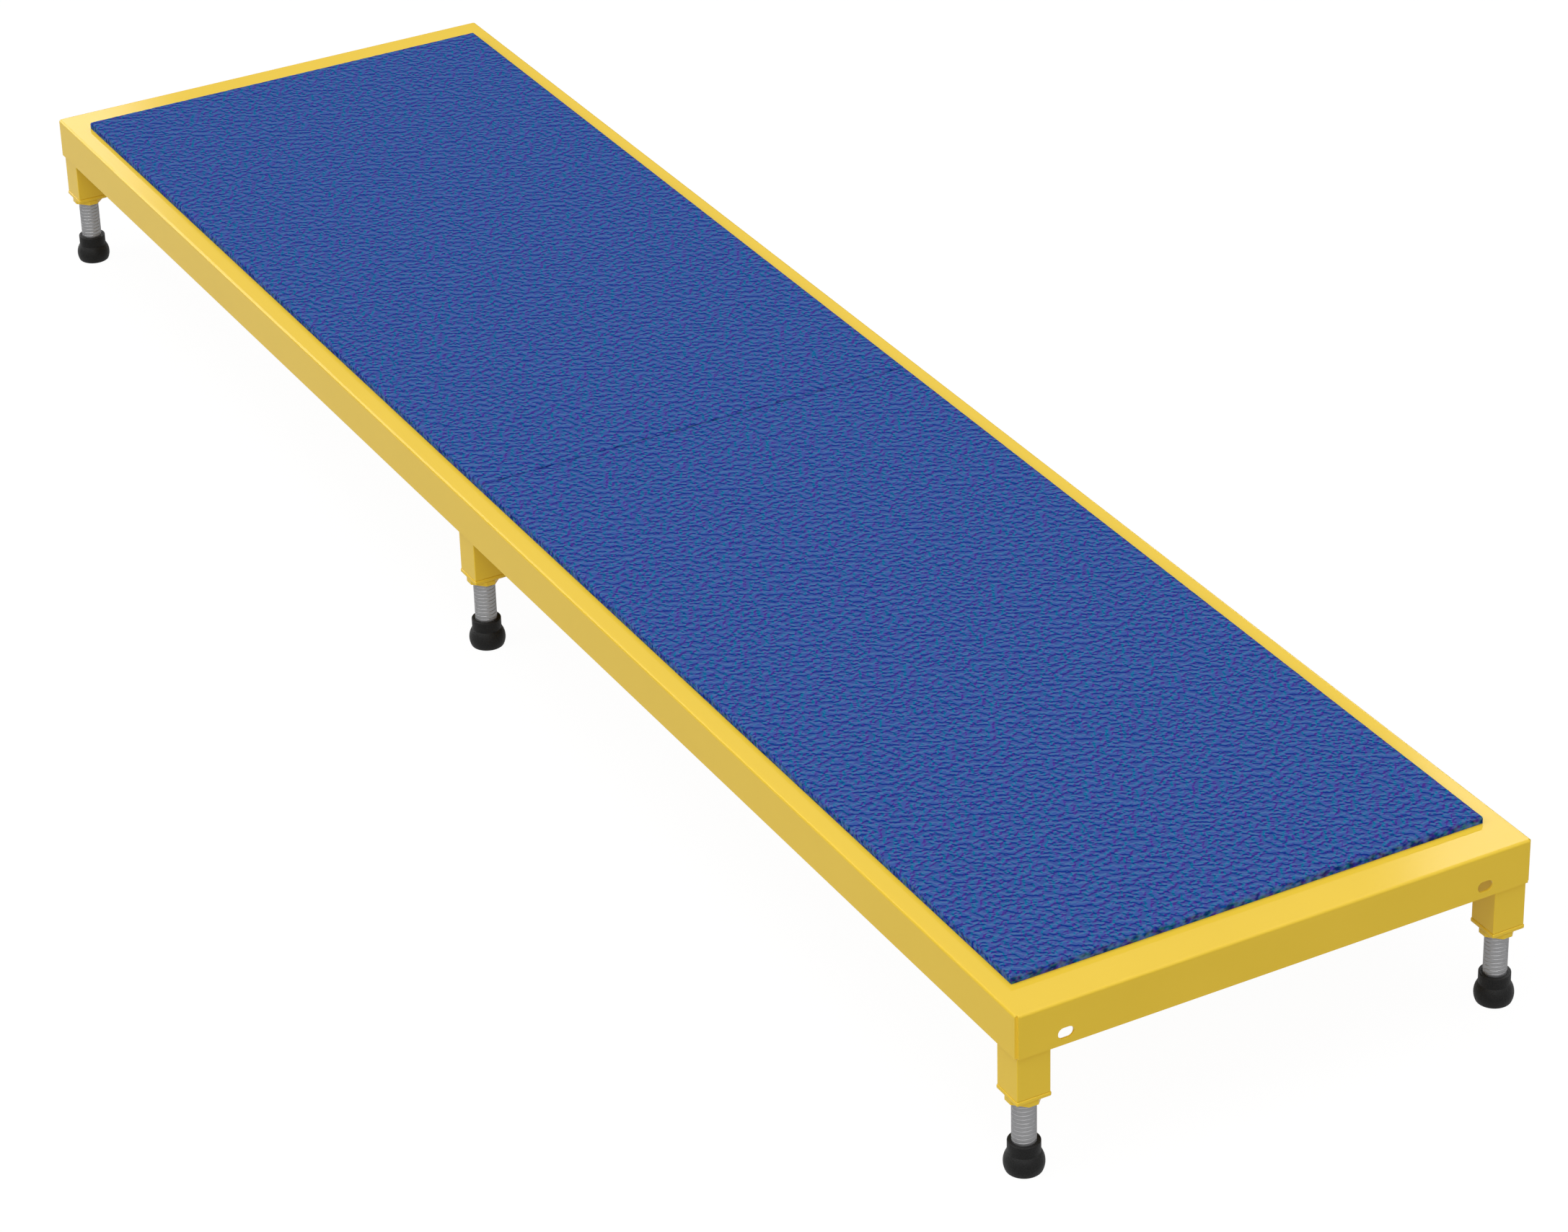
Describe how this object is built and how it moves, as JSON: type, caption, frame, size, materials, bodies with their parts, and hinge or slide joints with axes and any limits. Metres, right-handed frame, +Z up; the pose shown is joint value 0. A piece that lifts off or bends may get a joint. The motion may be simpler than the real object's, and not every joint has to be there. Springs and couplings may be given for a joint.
{
  "type": "stage riser platform",
  "caption": "Low rectangular platform: folded sheet-steel deck with two textured mats, on screw-adjusted legs with rubber ball feet.",
  "frame": {"origin": "middle of the footprint, on the floor, with all feet at the modelled height", "axes": "+X along the length from the front end to the rear end, +Y to the left side, +Z up"},
  "size_m": [2.4384, 0.6096, 0.2088],
  "materials": {
    "yellow_paint": "glossy yellow powder coat",
    "mat": "blue, embossed with a fine wrinkle",
    "screw_steel": "plain zinc, threaded",
    "foot_rubber": "black moulded rubber"
  },
  "bodies": {
    "frame": {"deck_pan": "yellow_paint", "front_mat": "mat", "rear_mat": "mat", "front_stiffener": "yellow_paint", "middle_stiffener": "yellow_paint", "rear_stiffener": "yellow_paint", "front_left_leg_tube": "yellow_paint", "front_left_end_plate": "yellow_paint", "front_left_nut": "yellow_paint", "front_right_leg_tube": "yellow_paint", "front_right_end_plate": "yellow_paint", "front_right_nut": "yellow_paint", "middle_left_leg_tube": "yellow_paint", "middle_left_end_plate": "yellow_paint", "middle_left_nut": "yellow_paint", "middle_right_leg_tube": "yellow_paint", "middle_right_end_plate": "yellow_paint", "middle_right_nut": "yellow_paint", "rear_left_leg_tube": "yellow_paint", "rear_left_end_plate": "yellow_paint", "rear_left_nut": "yellow_paint", "rear_right_leg_tube": "yellow_paint", "rear_right_end_plate": "yellow_paint", "rear_right_nut": "yellow_paint"},
    "front_left_foot": {"front_left_rubber_foot": "foot_rubber"},
    "front_left_screw": {"front_left_levelling_screw": "screw_steel"},
    "front_right_foot": {"front_right_rubber_foot": "foot_rubber"},
    "front_right_screw": {"front_right_levelling_screw": "screw_steel"},
    "middle_left_foot": {"middle_left_rubber_foot": "foot_rubber"},
    "middle_left_screw": {"middle_left_levelling_screw": "screw_steel"},
    "middle_right_foot": {"middle_right_rubber_foot": "foot_rubber"},
    "middle_right_screw": {"middle_right_levelling_screw": "screw_steel"},
    "rear_left_foot": {"rear_left_rubber_foot": "foot_rubber"},
    "rear_left_screw": {"rear_left_levelling_screw": "screw_steel"},
    "rear_right_foot": {"rear_right_rubber_foot": "foot_rubber"},
    "rear_right_screw": {"rear_right_levelling_screw": "screw_steel"}
  },
  "joints": [
    {"name": "front_left_foot_height", "type": "slide", "parent": "frame", "child": "front_left_foot", "axis": [0, 0, -1], "range_m": [-0.0477, 0.0318]},
    {"name": "front_left_screw_turn", "type": "hinge", "parent": "front_left_foot", "child": "front_left_screw", "pos_m": [-1.1971, 0.2827, 0.06], "axis": [0, 0, -1], "range_deg": [-3645, 2430]},
    {"name": "front_right_foot_height", "type": "slide", "parent": "frame", "child": "front_right_foot", "axis": [0, 0, -1], "range_m": [-0.0477, 0.0318]},
    {"name": "front_right_screw_turn", "type": "hinge", "parent": "front_right_foot", "child": "front_right_screw", "pos_m": [-1.1971, -0.2827, 0.06], "axis": [0, 0, -1], "range_deg": [-3645, 2430]},
    {"name": "middle_left_foot_height", "type": "slide", "parent": "frame", "child": "middle_left_foot", "axis": [0, 0, -1], "range_m": [-0.0477, 0.0318]},
    {"name": "middle_left_screw_turn", "type": "hinge", "parent": "middle_left_foot", "child": "middle_left_screw", "pos_m": [0, 0.2827, 0.06], "axis": [0, 0, -1], "range_deg": [-3645, 2430]},
    {"name": "middle_right_foot_height", "type": "slide", "parent": "frame", "child": "middle_right_foot", "axis": [0, 0, -1], "range_m": [-0.0477, 0.0318]},
    {"name": "middle_right_screw_turn", "type": "hinge", "parent": "middle_right_foot", "child": "middle_right_screw", "pos_m": [0, -0.2827, 0.06], "axis": [0, 0, -1], "range_deg": [-3645, 2430]},
    {"name": "rear_left_foot_height", "type": "slide", "parent": "frame", "child": "rear_left_foot", "axis": [0, 0, -1], "range_m": [-0.0477, 0.0318]},
    {"name": "rear_left_screw_turn", "type": "hinge", "parent": "rear_left_foot", "child": "rear_left_screw", "pos_m": [1.1971, 0.2827, 0.06], "axis": [0, 0, -1], "range_deg": [-3645, 2430]},
    {"name": "rear_right_foot_height", "type": "slide", "parent": "frame", "child": "rear_right_foot", "axis": [0, 0, -1], "range_m": [-0.0477, 0.0318]},
    {"name": "rear_right_screw_turn", "type": "hinge", "parent": "rear_right_foot", "child": "rear_right_screw", "pos_m": [1.1971, -0.2827, 0.06], "axis": [0, 0, -1], "range_deg": [-3645, 2430]}
  ],
  "couplings": [
    {"joint": "front_left_foot_height", "follows": "front_left_screw_turn", "m_per_rad": 0.00074803},
    {"joint": "front_right_foot_height", "follows": "front_right_screw_turn", "m_per_rad": 0.00074803},
    {"joint": "middle_left_foot_height", "follows": "middle_left_screw_turn", "m_per_rad": 0.00074803},
    {"joint": "middle_right_foot_height", "follows": "middle_right_screw_turn", "m_per_rad": 0.00074803},
    {"joint": "rear_left_foot_height", "follows": "rear_left_screw_turn", "m_per_rad": 0.00074803},
    {"joint": "rear_right_foot_height", "follows": "rear_right_screw_turn", "m_per_rad": 0.00074803}
  ]
}
